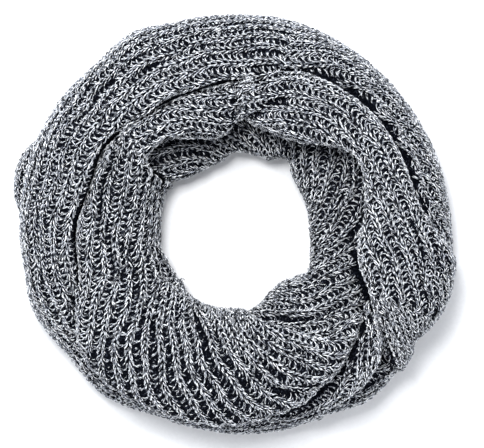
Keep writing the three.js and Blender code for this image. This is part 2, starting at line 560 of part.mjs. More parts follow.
// One stretch as a closed mesh: the outsides are zipped rib to rib, and the insides,
// which all have the same number of points, are joined point to point.
function stretchGeometry(stretch) {
  const positions = [];
  const faces = [];
  const keep = (at) => positions.push(at.x, at.y, at.z) / 3 - 1;
  const insidePoints = stretch.closed ? basePoints : bedPoints;
  const sections = stations(stretch).map((turn) => ({
    turn,
    outside: outsidePoints(stretch, turn).map((point) => ({ ...point, index: keep(point.at) })),
    inside: insidePoints(stretch, turn).map((point) => ({ ...point, index: keep(point.at) })),
  }));
  const zip = (one, two) => {
    let i = 0;
    let j = 0;
    while (i < one.length - 1 || j < two.length - 1) {
      const nextOne = i < one.length - 1 ? one[i + 1].key : NaN;
      const nextTwo = j < two.length - 1 ? two[j + 1].key : NaN;
      const both = nextOne === nextTwo;
      const stepTwo = both || Number.isNaN(nextOne) || nextTwo < nextOne;
      const stepOne = both || !stepTwo;
      if (stepOne) {
        faces.push(one[i].index, one[i + 1].index, two[j].index);
        i += 1;
      }
      if (stepTwo) {
        faces.push(one[i].index, two[j + 1].index, two[j].index);
        j += 1;
      }
    }
  };
  const join = (one, two, keyShift) => {
    zip(one.outside, two.outside.map(({ key, index }) => ({ key: key + keyShift, index })));
    const ring = ({ outside, inside }) =>
      [outside.at(-1), ...inside, outside[0]].map(({ index }) => index);
    const a = ring(one);
    const b = ring(two);
    for (let i = 0; i < a.length - 1; i += 1) {
      faces.push(a[i], a[i + 1], b[i]);
      faces.push(a[i + 1], b[i + 1], b[i]);
    }
  };
  for (let i = 0; i < sections.length - 1; i += 1) join(sections[i], sections[i + 1], 0);
  const byAngle = (points) => points.map(({ angle, index }) => ({ key: angle, index }));
  const cap = ({ outside, inside }) => zip(byAngle(outside), byAngle(inside).reverse());
  if (stretch.closed) {
    const steps = Math.round(ribsCrossed(stretch, 360) * stretch.perRib);
    join(sections.at(-1), sections[0], steps);
  } else {
    const capStart = faces.length;
    cap(sections[0]);
    for (let i = capStart; i < faces.length; i += 3) {
      [faces[i + 1], faces[i + 2]] = [faces[i + 2], faces[i + 1]];
    }
    cap(sections.at(-1));
  }
  return facingOut(positions, faces);
}

// Turns all faces round if the mesh came out inside out.
function facingOut(positions, faces) {
  let volume = 0;
  const corner3 = (index) => new THREE.Vector3().fromArray(positions, index * 3);
  for (let i = 0; i < faces.length; i += 3) {
    const [a, b, c] = [corner3(faces[i]), corner3(faces[i + 1]), corner3(faces[i + 2])];
    volume += a.dot(b.cross(c));
  }
  if (volume < 0) {
    for (let i = 0; i < faces.length; i += 3) {
      [faces[i + 1], faces[i + 2]] = [faces[i + 2], faces[i + 1]];
    }
  }
  const geometry = new THREE.BufferGeometry();
  geometry.setAttribute("position", new THREE.Float32BufferAttribute(positions, 3));
  geometry.setIndex(faces);
  geometry.computeVertexNormals();
  return geometry;
}

// The geometry with each of its points moved out along the surface's direction there.
function swollen(geometry, by) {
  const bigger = geometry.clone();
  const { position, normal } = bigger.attributes;
  for (let i = 0; i < position.count; i += 1) {
    const at = new THREE.Vector3().fromBufferAttribute(position, i);
    at.addScaledVector(new THREE.Vector3().fromBufferAttribute(normal, i), by);
    position.setXYZ(i, at.x, at.y, at.z);
  }
  return bigger;
}

function solidOf(geometry) {
  const vertProperties = new Float32Array(geometry.attributes.position.array);
  const triVerts = new Uint32Array(geometry.index.array);
  return new wasm.Manifold(new wasm.Mesh({ numProp: 3, vertProperties, triVerts }));
}

// An upper stretch with room cut in it for the cloth that it lies on.
function bedded(geometry, lowerGeometries) {
  let solid = solidOf(geometry);
  for (const lower of lowerGeometries) {
    solid = solid.subtract(solidOf(swollen(lower, clearance)));
  }
  const pieces = solid.simplify(sliver).decompose();
  const largest = pieces.reduce((best, each) => (each.volume() > best.volume() ? each : best));
  const { vertProperties, triVerts } = largest.getMesh();
  return facingOut([...vertProperties], [...triVerts]);
}

const scarf = new THREE.Group();
const made = new Map();
for (const stretch of [underTurn, outerStretch, leftStretch, rightStretch]) {
  const lower = (stretch.liesOn ?? []).map((each) => made.get(each));
  const whole = stretchGeometry(stretch);
  const geometry = stretch.closed ? whole : bedded(whole, lower);
  made.set(stretch, geometry);
  const knit = new THREE.MeshStandardMaterial({ color: "#83868e", roughness: 0.95, metalness: 0 });
  const mesh = new THREE.Mesh(geometry, knit);
  mesh.name = stretch.name;
  scarf.add(mesh);
}

export default scarf;
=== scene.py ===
"""An infinity scarf of chunky ribbed knit, wound twice and laid down as a ring.

The scarf is one band of rib knitted in a cool grey marl yarn, sewn end to end into a
loop. Each stretch of it that shows is a thin shell of cloth, with the yarn's own loops
on it. Lengths in the tables are in millimetres, and turns are in degrees anticlockwise
from the right, seen from above.
"""

import math

import bpy
import numpy as np
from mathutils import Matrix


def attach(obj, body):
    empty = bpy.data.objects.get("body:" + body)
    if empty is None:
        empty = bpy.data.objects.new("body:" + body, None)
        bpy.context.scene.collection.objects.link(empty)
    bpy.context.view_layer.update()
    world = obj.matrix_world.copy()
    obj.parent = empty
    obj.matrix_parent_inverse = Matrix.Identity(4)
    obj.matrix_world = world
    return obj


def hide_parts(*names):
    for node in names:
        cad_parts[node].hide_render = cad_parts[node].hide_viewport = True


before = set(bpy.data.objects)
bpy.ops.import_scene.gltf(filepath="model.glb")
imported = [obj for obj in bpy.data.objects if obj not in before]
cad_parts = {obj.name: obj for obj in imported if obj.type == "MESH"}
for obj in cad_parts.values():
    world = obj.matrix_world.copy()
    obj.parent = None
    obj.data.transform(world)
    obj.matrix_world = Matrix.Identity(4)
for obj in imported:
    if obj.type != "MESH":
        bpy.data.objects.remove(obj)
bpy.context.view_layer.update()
mm = 0.001

# The camera
# The photograph was taken from straight above, from far enough away that the sides of
# the ring hardly show. Its frame's middle is a little to the right of the ring's.
camera_height = 1.9
camera_over = (0.0070, 0.0008)
photo_width_px = 484
mm_per_px = 0.86
scale_height = 0.040  # of the plane on which a pixel is mm_per_px wide
sensor_width = 36.0

camera_data = bpy.data.cameras.new("camera")
camera_data.sensor_width = sensor_width
camera_data.lens = sensor_width * (camera_height - scale_height) / (photo_width_px * mm_per_px * mm)
camera = bpy.data.objects.new("camera", camera_data)
camera.location = (*camera_over, camera_height)
bpy.context.collection.objects.link(camera)
bpy.context.scene.camera = camera
bpy.context.scene.view_settings.view_transform = "Standard"

# The under turn
# The first turn of the loop lies on the table all the way round, gathered into a roll.
# It shows inside the hole, and at the lower right between the other stretches. Its
# shape is a section at each turn of the ring, smoothed between them.
ring_middle = (1.4, -3.0)
roll_radius = 126.0  # from the ring's middle to the middle of the roll
roll_height = 18.0  # of the roll's middle above the table
fullness = 2.3  # of the roll's outline: 2 is an ellipse, more is squarer
low_fullness = 3.0  # the same below the roll's middle
low_depth = 22.0  # of the outline below the roll's middle, before the table cuts it
foot_angle = math.radians(17)  # below the roll's middle, where a stretch meets the table
corner = math.radians(35)  # below the roll's middle, where the flat base starts
side_reach = 60.0  # mm down a side for each radian
usual_reach = 42.0  # from the roll's middle to the cloth
seam_gap = 0.3  # each side of a seam
rib_wander = 0.08  # of the spacing of the ribs, by which each wave shifts them
rib_waves = [  # the length for a radian along x, the same along y, and the start
    (9, 14, 0),
    (-15, 8, 2),
]
bedding = 1.6  # between a stretch and the cloth that it lies on
edge_wall = 1.6  # the least thickness at a stretch's edge
top_fade = 2  # how fast folds begin, up the sides of the roll
side_fade = 3  # how fast an outer edge's rounding ends, down the side of the roll

under_turn = {
    "name": "under_turn",
    "closed": True,
    "lies_on": [],
    "cut": (300, 790),  # its width and length when flat
    "chained": (),  # which of its edges have a chain of stitches
    "columns": ("turn", "hole", "rim", "crown", "slant", "pitch"),
    "sections": [
        (0, 65.4, 177, 52, 1.2, 13),
        (30, 65.8, 177, 50, 1.2, 13),
        (42, 68, 177, 47, 1.2, 13),
        (54, 75.5, 177, 41, 1.1, 13),
        (66, 67, 177, 36, 1, 12.5),
        (90, 67.5, 176, 32, 0.8, 12),
        (102, 60.6, 176, 32, 0.8, 12),
        (120, 59, 178, 33, 0.8, 12),
        (132, 61, 177, 37, 0.6, 12),
        (145, 70, 177, 42, 0.4, 12),
        (153, 72, 180, 42, 0.2, 12),
        (159, 71, 190, 42, 0, 12),
        (165, 70, 194, 42, 0, 12),
        (171, 70, 191, 42, 0, 12),
        (179, 69, 179, 42, 0, 12),
        (195, 71, 177, 42, 0.2, 12),
        (213, 66.2, 177, 42, 0.4, 12),
        (240, 75, 170, 42, 0.6, 12),
        (270, 76, 170, 46, 0.8, 12),
        (285, 71, 172, 55, 0.8, 12),
        (300, 63.6, 182.5, 65, 0.9, 12.5),
        (309, 62, 188, 68, 1, 12.5),
        (318, 66, 186, 66, 1, 12.5),
        (324, 70, 180.5, 63, 1, 12.5),
        (329, 74, 176, 60, 1.1, 13),
        (345, 68.5, 177, 54, 1.2, 13),
    ],
    "folds": [  # turn, radius, to turn, to radius, depth, width
        (8, 80, 28, 100, 5, 5),
        (298, 88, 324, 112, 3, 5),
        (296, 181, 313, 174, 7, 8),
        (313, 174, 326, 160, 8, 8),
        (292, 164, 312, 150, 10, 9),
        (312, 150, 325, 136, 10, 9),
        (56, 86, 40, 103, 7, 8),
        (40, 103, 12, 107, 8, 9),
        (12, 107, -8, 99, 8, 9),
        (-8, 99, -20, 109, 9, 9),
        (-20, 109, -33, 139, 10, 9),
    ],
    "creases": [  # the same, and too narrow for the solids
        (30, 117, 12, 110, 4, 3),
        (12, 110, -3, 102, 5, 3),
        (-3, 102, -12, 103, 8, 2.5),
        (-12, 103, -20, 114, 10, 3),
        (-20, 114, -30, 136, 12, 4),
        (-30, 136, -36, 158, 12, 4),
        (-36, 158, -41, 175, 10, 4),
    ],
}


def sizes_at(stretch, turns):
    """The sizes in a stretch's table at each turn: smooth curves that never overshoot."""
    knots = np.array(stretch["sections"], float)
    if stretch["closed"]:
        whole = np.zeros(len(stretch["columns"]))
        whole[0] = 360
        knots = np.vstack([knots - whole, knots, knots + whole])
    places = knots[:, 0]
    at = np.clip(turns, places[0], places[-1])
    i = np.clip(np.searchsorted(places, at, side="right") - 1, 0, len(places) - 2)
    span = np.diff(places)[:, None]
    rise = np.diff(knots, axis=0) / span
    flat = np.zeros((1, knots.shape[1]))
    before, after = np.vstack([flat, rise]), np.vstack([rise, flat])
    both = before + after
    steady = before * after > 0
    slope = np.where(steady, 2 * before * after / np.where(steady, both, 1), 0)
    share = ((at - places[i]) / span[i, 0])[:, None]
    ease = share * share * (3 - 2 * share)
    leave = share * (1 - share) ** 2 * span[i] * slope[i]
    arrive = share * share * (1 - share) * span[i] * slope[i + 1]
    values = knots[i] + ease * (knots[i + 1] - knots[i]) + leave - arrive
    return dict(zip(stretch["columns"], values.T))


def reach_of(hole, rim, crown, angle):
    """How far an outline reaches from the roll's middle, at an angle round the roll."""
    across = np.where(np.cos(angle) > 0, rim - roll_radius, roll_radius - hole)
    power = np.where(np.sin(angle) > 0, fullness, low_fullness)
    high = np.where(np.sin(angle) > 0, crown - roll_height, low_depth)
    total = np.abs(np.cos(angle) / across) ** power + np.abs(np.sin(angle) / high) ** power
    return total ** (-1 / power)


def above_table(reach, angle):
    """The same, cut off by the table."""
    down = -np.sin(angle)
    below = down > 1e-9
    to_table = roll_height / np.where(below, down, 1)
    return np.where(below, np.minimum(reach, to_table), reach)


def on_top(angles):
    """1 on the top of the roll, falling to 0 at its sides."""
    return np.clip(np.sin(angles) * top_fade, 0, 1)


def fold_depth(folds, turns, radius):
    """How deep some folds are at each place, from its distance to each fold's line, which
    is straight on the ring rolled out flat."""
    depth = np.zeros(radius.shape)
    for turn, start_radius, to_turn, to_radius, deep, width in folds:
        round_ring = np.radians((turns - turn + 180) % 360 - 180)[:, None] * start_radius
        outwards = radius - start_radius
        to_round, to_out = math.radians(to_turn - turn) * start_radius, to_radius - start_radius
        share = (round_ring * to_round + outwards * to_out) / (to_round**2 + to_out**2)
        share = np.clip(share, 0, 1)
        off = np.hypot(round_ring - share * to_round, outwards - share * to_out)
        depth = np.maximum(depth, deep * np.exp(-((off / width) ** 2)))
    return depth


def edges_at(stretch, turns):
    """The two edges of a stretch at each turn, as angles round the roll."""
    if stretch["closed"]:
        return np.full(len(turns), -corner), np.full(len(turns), math.pi + corner)
    sizes = sizes_at(stretch, turns)
    half = seam_gap / usual_reach
    outer = angle_of_radius(turns, sizes["outer"]) + half
    return outer, angle_of_radius(turns, sizes["inner"]) - half


def smooth_reach(stretch, turns, angles, folded=True):
    """The reach of a stretch's outside without its ribs: a row of angles for each turn."""
    sizes = {name: column[:, None] for name, column in sizes_at(stretch, turns).items()}
    folds = stretch["folds"] + stretch["creases"] if folded else []
    if stretch["closed"]:
        own = reach_of(sizes["hole"], sizes["rim"], sizes["crown"], angles)
        radius = roll_radius + own * np.cos(angles)
        return above_table(own - fold_depth(folds, turns, radius) * on_top(angles), angles)
    full = envelope_reach(turns, angles)
    outer, inner = (edge[:, None] for edge in edges_at(stretch, turns))
    raised = full + sizes["lift"] * on_top(angles)
    drop, width = stretch["outer_edge"]
    above_side = np.clip(1 + np.sin(angles) * side_fade, 0, 1)
    raised -= drop * round_off((angles - outer) * full, width) * above_side
    drop, width = stretch["inner_edge"]
    raised -= drop * round_off((inner - angles) * full, width)
    radius = roll_radius + full * np.cos(angles)
    raised -= fold_depth(folds, turns, radius) * on_top(angles)
    return above_table(np.maximum(raised, bed_reach(stretch, turns, angles) + edge_wall), angles)


def place(turns, angles, reach):
    """Points in metres, from turns, angles round the roll and reaches."""
    radius = roll_radius + reach * np.cos(angles)
    turn = np.radians(turns)
    x = ring_middle[0] + radius * np.cos(turn)
    y = ring_middle[1] + radius * np.sin(turn)
    z = np.maximum(0, roll_height + reach * np.sin(angles))
    return np.stack([x, y, z], axis=-1) * mm


def ribs_crossed(stretch, turns):
    """How many ribs have crossed the crown outwards, from the first section on."""
    start = 0 if stretch["closed"] else stretch["sections"][0][0]
    end = 360 if stretch["closed"] else stretch["sections"][-1][0]
    steps = np.arange(start, end + 1, 1.0)
    sizes = sizes_at(stretch, steps)
    crossed = np.concatenate([[0], np.cumsum(sizes["slant"] / sizes["pitch"])[:-1]])
    if stretch["closed"]:
        crossed += (round(crossed[-1]) - crossed[-1]) * (steps - start) / 360
    return np.interp(turns, steps, crossed)


def cloth_grid(stretch, turn_step, across):
    """The smooth outside of a stretch, as rows of points with their normals and rib counts.
    A rib count is whole in a furrow and half way between on a crest."""
    start = 0 if stretch["closed"] else stretch["sections"][0][0]
    end = 360 if stretch["closed"] else stretch["sections"][-1][0]
    turns = np.linspace(start, end, int((end - start) / turn_step) + 1)
    outer, inner = edges_at(stretch, turns)
    share = np.linspace(0, 1, across)
    angles = outer[:, None] + (inner - outer)[:, None] * share
    points = place(turns[:, None], angles, smooth_reach(stretch, turns, angles))
    unfolded = place(turns[:, None], angles, smooth_reach(stretch, turns, angles, folded=False))
    steps = np.linalg.norm(np.diff(unfolded, axis=1), axis=2) / mm
    along = np.concatenate([np.zeros((len(turns), 1)), np.cumsum(steps, axis=1)], axis=1)
    crown = np.array([np.interp(math.pi / 2, a, l) for a, l in zip(angles, along)])
    pitch = sizes_at(stretch, turns)["pitch"]
    ribs = ribs_crossed(stretch, turns)[:, None] - (crown[:, None] - along) / pitch[:, None]
    x, y = points[..., 0] / mm, points[..., 1] / mm
    for along_x, along_y, wave_start in rib_waves:
        ribs += rib_wander * np.sin(x / along_x + y / along_y + wave_start)
    down = np.gradient(points, axis=1)
    if stretch["closed"]:
        padded = np.vstack([points[-2:-1], points, points[1:2]])
        round_ring = np.gradient(padded, axis=0)[1:-1]
    else:
        round_ring = np.gradient(points, axis=0)
    normals = np.cross(round_ring, down)
    normals /= np.linalg.norm(normals, axis=2, keepdims=True) + 1e-12
    edge = np.minimum(along, along[:, -1:] - along)
    radius = np.hypot(x - ring_middle[0], y - ring_middle[1])
    return {
        "creased": fold_depth(stretch["creases"], turns, radius) * on_top(angles),
        "turns": turns, "angles": angles, "points": points, "normals": normals,
        "ribs": ribs, "edge": edge, "along": along,
    }


def grid_faces(rows, columns, ring):
    """Quads over a grid of points, facing out, and closed both ways for a ring."""
    row = np.arange(rows if ring else rows - 1)[:, None]
    column = np.arange(columns if ring else columns - 1)
    next_row, next_column = (row + 1) % rows, (column + 1) % columns
    corners = [
        row * columns + column,
        next_row * columns + column,
        next_row * columns + next_column,
        row * columns + next_column,
    ]
    return np.stack(corners, axis=-1).reshape(-1, 4)


def add_mesh(name, points, quads, material):
    """A smooth mesh object of points in metres and four-sided faces."""
    mesh = bpy.data.meshes.new(name)
    mesh.vertices.add(len(points))
    mesh.vertices.foreach_set("co", points.astype(np.float32).ravel())
    mesh.loops.add(quads.size)
    mesh.loops.foreach_set("vertex_index", quads.astype(np.int32).ravel())
    mesh.polygons.add(len(quads))
    mesh.polygons.foreach_set("loop_start", np.arange(0, quads.size, 4, dtype=np.int32))
    mesh.update(calc_edges=True)
    mesh.polygons.foreach_set("use_smooth", np.ones(len(quads), bool))
    mesh.materials.append(material)
    piece = bpy.data.objects.new(name, mesh)
    bpy.context.collection.objects.link(piece)
    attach(piece, "root")
    return piece


rib_depth = 2.2  # from a rib's crest to the furrow beside it
edge_fade = 6.0  # the width over which ribs flatten at an edge
wall = 1.4  # the thickness of the cloth
rough_turn_step = 12
rough_across = 40
shell_turn_step = 2.7
shell_spacing = 2.4  # across the cloth
base_columns = 8  # across the under turn's flat base


def cloth_shell(stretch, material):
    """A stretch's cloth as a thin closed shell, with its ribs as waves on the outside."""
    longest = cloth_grid(stretch, rough_turn_step, rough_across)["along"][:, -1].max()
    grid = cloth_grid(stretch, shell_turn_step, int(longest / shell_spacing))
    wave = 0.5 + 0.5 * np.cos(2 * math.pi * grid["ribs"])
    depth = rib_depth * wave * np.clip(grid["edge"] / edge_fade, 0, 1)
    outside = grid["points"] - grid["normals"] * depth[..., None] * mm
    outside[..., 2] = np.maximum(outside[..., 2], 0)
    inside = grid["points"] - grid["normals"] * (depth + wall)[..., None] * mm
    ring = stretch["closed"]
    if ring:
        sweep = np.linspace(math.pi + corner, 2 * math.pi - corner, base_columns + 2)[1:-1]
        angles = np.broadcast_to(sweep, (len(grid["turns"]), base_columns))
        base = place(grid["turns"][:, None], angles, -roll_height / np.sin(angles))
        outside = np.concatenate([outside, base], axis=1)[:-1]
        inside = np.concatenate([inside, base], axis=1)[:-1]
        inside[..., 2] = np.maximum(inside[..., 2], wall * mm)
    rows, columns = outside.shape[:2]
    count = rows * columns
    faces = grid_faces(rows, columns, ring)
    walls = [faces, faces[:, ::-1] + count]
    if not ring:
        index = np.arange(count).reshape(rows, columns)
        border = [index[:-1, 0], index[-1, :-1], index[:0:-1, -1], index[0, :0:-1]]
        border = np.concatenate(border)
        following = np.roll(border, -1)
        walls.append(np.stack([following, border, border + count, following + count], axis=-1))
    points = np.concatenate([outside.reshape(-1, 3), inside.reshape(-1, 3)])
    return add_mesh(stretch["name"] + "_cloth", points, np.concatenate(walls), material)


def linear(hex_colour):
    """An sRGB hex colour as linear red, green, blue and alpha."""
    channels = [int(hex_colour[i:i + 2], 16) / 255 for i in (1, 3, 5)]
    return [c / 12.92 if c <= 0.04045 else ((c + 0.055) / 1.055) ** 2.4 for c in channels] + [1]


def node(material, kind, settings=None, links=None):
    """Adds a node with its settings, and links its inputs to other nodes' outputs."""
    made = material.node_tree.nodes.new(kind)
    for name, value in (settings or {}).items():
        if name in made.inputs:
            made.inputs[name].default_value = value
        else:
            setattr(made, name, value)
    for name, output in (links or {}).items():
        material.node_tree.links.new(output, made.inputs[name])
    return made


def ramp(material, factor, stops):
    """A colour ramp over a factor, from places and hex colours."""
    made = node(material, "ShaderNodeValToRGB", links={"Fac": factor})
    band = made.color_ramp
    while len(band.elements) < len(stops):
        band.elements.new(0.5)
    for element, (where, colour) in zip(band.elements, stops):
        element.position = where
        element.color = linear(colour)
    return made.outputs["Color"]


def finish_material(material, colour, height, distance, roughness, sheen):
    """Ends a material in its shader, with a colour and a bump of a real depth."""
    bump = node(
        material, "ShaderNodeBump", {"Strength": 1.0, "Distance": distance}, {"Height": height},
    )
    shader = node(
        material, "ShaderNodeBsdfPrincipled",
        {
            "Roughness": roughness, "Specular IOR Level": 0.02,
            "Sheen Weight": sheen, "Sheen Roughness": 0.5,
        },
        {"Base Color": colour, "Normal": bump.outputs["Normal"]},
    )
    node(material, "ShaderNodeOutputMaterial", links={"Surface": shader.outputs["BSDF"]})


def new_material(name):
    material = bpy.data.materials.new(name)
    material.use_nodes = True
    material.node_tree.nodes.clear()
    return material


# Brushed acrylic and wool between the loops, coloured near-black as painted shade for the holes
# between them: it takes no highlight, and only flecks of the pale fibre show in the dark.
painted_shade_ground = new_material("marl_knit_ground_painted_shade")
place_node = node(painted_shade_ground, "ShaderNodeTexCoord")
flecks = node(
    painted_shade_ground, "ShaderNodeTexNoise", {"Scale": 1 / (1.6 * mm), "Detail": 3.0, "Roughness": 0.6},
    {"Vector": place_node.outputs["Object"]},
)
painted_shade_colour = ramp(
    painted_shade_ground, flecks.outputs["Fac"],
    [(0.42, "#030408"), (0.56, "#0b0d13"), (0.68, "#30343f")],
)
finish_material(
    painted_shade_ground, painted_shade_colour, flecks.outputs["Fac"],
    distance=0.8 * mm, roughness=0.95, sheen=0.0,
)

under_cloth = cloth_shell(under_turn, painted_shade_ground)
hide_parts("under_turn")

# The outer stretch
# The second turn of the loop, where it runs round the outside: from under the right
# stretch, past the top and the left, under the left stretch at the bottom, and up again
# beside it as a pale roll. It lies on the under turn and hangs down past it to the table.
envelope = {
    "closed": True,
    "columns": ("turn", "hole", "rim", "crown"),
    "sections": [
        (0, 68, 187, 80),
        (18, 68, 185, 79),
        (36, 68, 184, 81),
        (60, 70, 185, 82),
        (75, 69, 186, 80),
        (90, 68, 184, 76),
        (105, 68, 184, 78),
        (118, 68, 190, 80),
        (130, 69, 185, 80),
        (145, 74, 187, 80),
        (160, 68, 187, 79),
        (175, 66, 186, 78),
        (190, 69, 185, 78),
        (201, 72, 189, 78),
        (220, 73, 182, 80),
        (230, 71, 184, 80),
        (250, 72, 176, 80),
        (270, 71, 178, 80),
        (290, 75, 180, 77),
        (312, 78, 187, 76),
        (319, 77, 190, 76.5),
        (324, 76, 187, 77),
        (328, 75, 181.5, 78),
        (332, 74, 185, 79),
        (338, 72, 190, 79.5),
        (342, 70, 191.5, 80),
        (352, 68, 190, 80),
    ],
}
outer_stretch = {
    "name": "outer_stretch",
    "closed": False,
    "lies_on": [under_turn],
    "cut": (105, 1040),
    "chained": ("outer",),
    "outer_edge": (3, 8),  # how far the edge drops, and the width of its rounding
    "inner_edge": (10, 13),
    "columns": ("turn", "outer", "inner", "lift", "slant", "pitch"),
    "sections": [
        (-12, 210, 160, -8, -1.9, 14),
        (0, 210, 152, -5, -1.8, 13.5),
        (18, 210, 144, -4, -1.2, 13),
        (42, 210, 141, -4, -0.9, 12.5),
        (60, 210, 136, -3, -0.7, 12),
        (78, 210, 124, -1, -0.5, 12),
        (90, 210, 124, 1, -0.4, 12),
        (108, 210, 119.5, 3, -0.1, 12),
        (126, 210, 121, 3, 0, 12),
        (138, 210, 125, 2, 0, 12),
        (150, 210, 130.5, 2, 0, 12),
        (162, 210, 128.5, 2, 0, 12),
        (170, 210, 131, 2, 0, 12),
        (180, 210, 136.5, 2, 0, 12),
        (192, 210, 138, 1, 0, 12),
        (198, 210, 141, -1, 0, 12),
        (210, 210, 142, -6, 0.2, 12),
        (222, 210, 142, -10, 0.2, 12),
        (246, 210, 142, -11, 0, 12),
        (270, 210, 144, -11, -0.3, 12),
        (280, 210, 146, -10, -0.6, 12),
        (285, 192, 148, -10, -0.7, 12),
        (292, 181, 149, -8, -0.8, 12),
        (300, 176, 150, -1, -0.9, 11),
        (306, 172, 148, 3, -1.1, 10),
        (312, 168.5, 145, 5, -1.3, 9),
        (318, 163, 139.5, 5, -1.4, 9),
        (324, 156, 134, 3, -1.5, 9),
        (330, 146, 128, -3, -1.5, 9),
    ],
    "folds": [  # turn, radius, to turn, to radius, depth, width
        (130, 161, 154, 160, 4, 4),
        (104, 158, 124, 150, 3, 4),
        (164, 168, 208, 172, 3, 3.5),
        (8, 173, 44, 172, 5, 5),
        (82, 134, 66, 149, 3, 6),
        (66, 149, 42, 156, 10, 7),
        (42, 156, 12, 158, 11, 8),
        (12, 158, 0, 171, 10, 7),
        (204, 152, 216, 170, 8, 6),
        (216, 170, 240, 177, 7, 6),
        (270, 175, 294, 164, 9, 6),
        (294, 164, 312, 150, 13, 7),
        (312, 150, 325, 136, 13, 7),
        (333, 142, 322, 164, 9, 7),
    ],
    "creases": [  # the same, and too narrow for the solids
        (82, 133, 72, 140.5, 6, 2.5),
        (72, 140.5, 62, 146, 9, 2.5),
        (62, 146, 50, 151.5, 11, 2.5),
        (50, 151.5, 38, 154.5, 12, 3),
        (38, 154.5, 12, 156.5, 12, 3),
        (12, 156.5, 4, 165, 9, 2.5),
        (276, 168, 294, 160.5, 10, 3),
        (294, 160.5, 306, 150, 12, 2.5),
        (306, 150, 318, 140, 12, 2.5),
        (318, 140, 326, 131, 12, 3),
        (330, 136, 324, 159, 14, 4),
    ],
}


def envelope_reach(turns, angles):
    """The reach of the outline that the upper stretches fill together."""
    sizes = {name: column[:, None] for name, column in sizes_at(envelope, turns).items()}
    return reach_of(sizes["hole"], sizes["rim"], sizes["crown"], angles)


halvings = 30  # of the range in which an angle is looked for


def angle_of_radius(turns, radius):
    """The angle round the roll at which the envelope has a radius. Past the rim, or in the
    hole, the radius counts on down the side as far as the table."""
    sizes = sizes_at(envelope, turns)
    low, high = np.zeros(len(turns)), np.full(len(turns), math.pi)
    for _ in range(halvings):
        middle = (low + high) / 2
        reach = reach_of(sizes["hole"], sizes["rim"], sizes["crown"], middle)
        outside = roll_radius + reach * np.cos(middle) > radius
        low, high = np.where(outside, middle, low), np.where(outside, high, middle)
    angle = (low + high) / 2
    past_rim = np.clip((radius - sizes["rim"]) / side_reach, 0, foot_angle)
    in_hole = np.clip((sizes["hole"] - radius) / side_reach, 0, foot_angle)
    angle = np.where(radius >= sizes["rim"], -past_rim, angle)
    return np.where(radius <= sizes["hole"], math.pi + in_hole, angle)


def covers(stretch, turns, angles, inner_margin=0.0):
    """Where a stretch lies, less a margin inside its inner edge, as angles round the roll."""
    if stretch["closed"]:
        return np.ones(angles.shape, bool)
    first, last = stretch["sections"][0][0], stretch["sections"][-1][0]
    found = np.zeros(angles.shape, bool)
    for whole in (-360, 0, 360):
        at = turns + whole
        outer, inner = (edge[:, None] for edge in edges_at(stretch, at))
        inside = (angles > outer) & (angles < inner - inner_margin)
        found |= inside & ((at >= first) & (at <= last))[:, None]
    return found


def on_its_turns(stretch, turns):
    """Turns moved by whole turns into the range of a stretch's table, where they can be."""
    if stretch["closed"]:
        return turns
    first, last = stretch["sections"][0][0], stretch["sections"][-1][0]
    moved = np.where(turns < first, turns + 360, turns)
    return np.where(moved > last, moved - 360, moved)


def bed_reach(stretch, turns, angles):
    """The reach of the cloth that a stretch lies on, with room between them."""
    most = np.zeros(angles.shape)
    for lower in stretch["lies_on"]:
        reach = smooth_reach(lower, on_its_turns(lower, turns), angles)
        most = np.maximum(most, np.where(covers(lower, turns, angles), reach, 0))
    return most + bedding


def round_off(distance, width):
    """1 at an edge and 0 a rounding's width inside it, on a quarter circle."""
    inside = np.clip(distance / width, 0, 1)
    return 1 - np.sqrt(1 - (1 - inside) ** 2)


outer_cloth = cloth_shell(outer_stretch, painted_shade_ground)
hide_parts("outer_stretch")

# The left stretch
# The loop goes on from the sewn seam at the top, down the left beside the hole, and then
# out over the outer stretch at the bottom, where its ribs run across the ring.
left_stretch = {
    "name": "left_stretch",
    "closed": False,
    "lies_on": [under_turn, outer_stretch],
    "cut": (110, 500),
    "chained": ("outer", "inner"),
    "outer_edge": (12, 13),
    "inner_edge": (10, 12),
    "columns": ("turn", "outer", "inner", "lift", "slant", "pitch"),
    "sections": [
        (90.2, 124, 83, -1, 0.6, 12),
        (96, 121.2, 77, 0, 0.6, 12),
        (102, 120, 75, 0, 0.7, 12),
        (108, 119.5, 77, 0, 0.7, 12),
        (120, 120.2, 84.5, 0, 0.5, 12),
        (128, 121.6, 94, 0, 0.2, 12),
        (138, 125, 93.5, 0, -0.2, 12),
        (144, 127.6, 89, -1, -0.4, 12),
        (150, 130.5, 45, -2, -0.4, 12),
        (162, 128.5, 45, -4, -0.2, 12),
        (170, 131, 45, -4, 0, 12),
        (180, 136.5, 45, -3, 0.2, 12),
        (192, 138, 45, -1, 0.5, 12),
        (198, 141, 45, 0, 1, 13.5),
        (204, 150, 73.5, 1, 1.7, 15),
        (210, 159, 75, 2, 2.3, 17.5),
        (216, 167.5, 74.5, 3, 3, 20),
        (222, 173, 73.5, 3, 3.1, 20),
        (230, 174.5, 45, 3, 3, 20.5),
        (252, 171, 45, 3, 3, 21),
        (264, 171, 45, 3, 2.9, 21),
        (276, 167.5, 72, 3, 2.9, 20),
        (285, 164.5, 79, 3, 2.5, 19),
        (294, 160, 89.5, 4, 2.4, 17.5),
        (300, 154.5, 100, 4, 2.3, 17),
        (306, 150, 113, 3, 2.2, 16),
        (312, 145.5, 121, 1, 2, 15),
        (318, 140.5, 123, -1, 1.8, 14.5),
        (324, 135, 124.5, -4, 1.6, 14),
    ],
    "folds": [  # turn, radius, to turn, to radius, depth, width
        (150, 116, 174, 112, 7, 7),
        (174, 112, 200, 102, 7, 8),
        (190, 90, 232, 108, 6, 7),
        (285, 141, 297, 152, 6, 5),
        (243, 74, 256, 106, 5, 5),
    ],
    "creases": [],
}
left_cloth = cloth_shell(left_stretch, painted_shade_ground)
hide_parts("left_stretch")

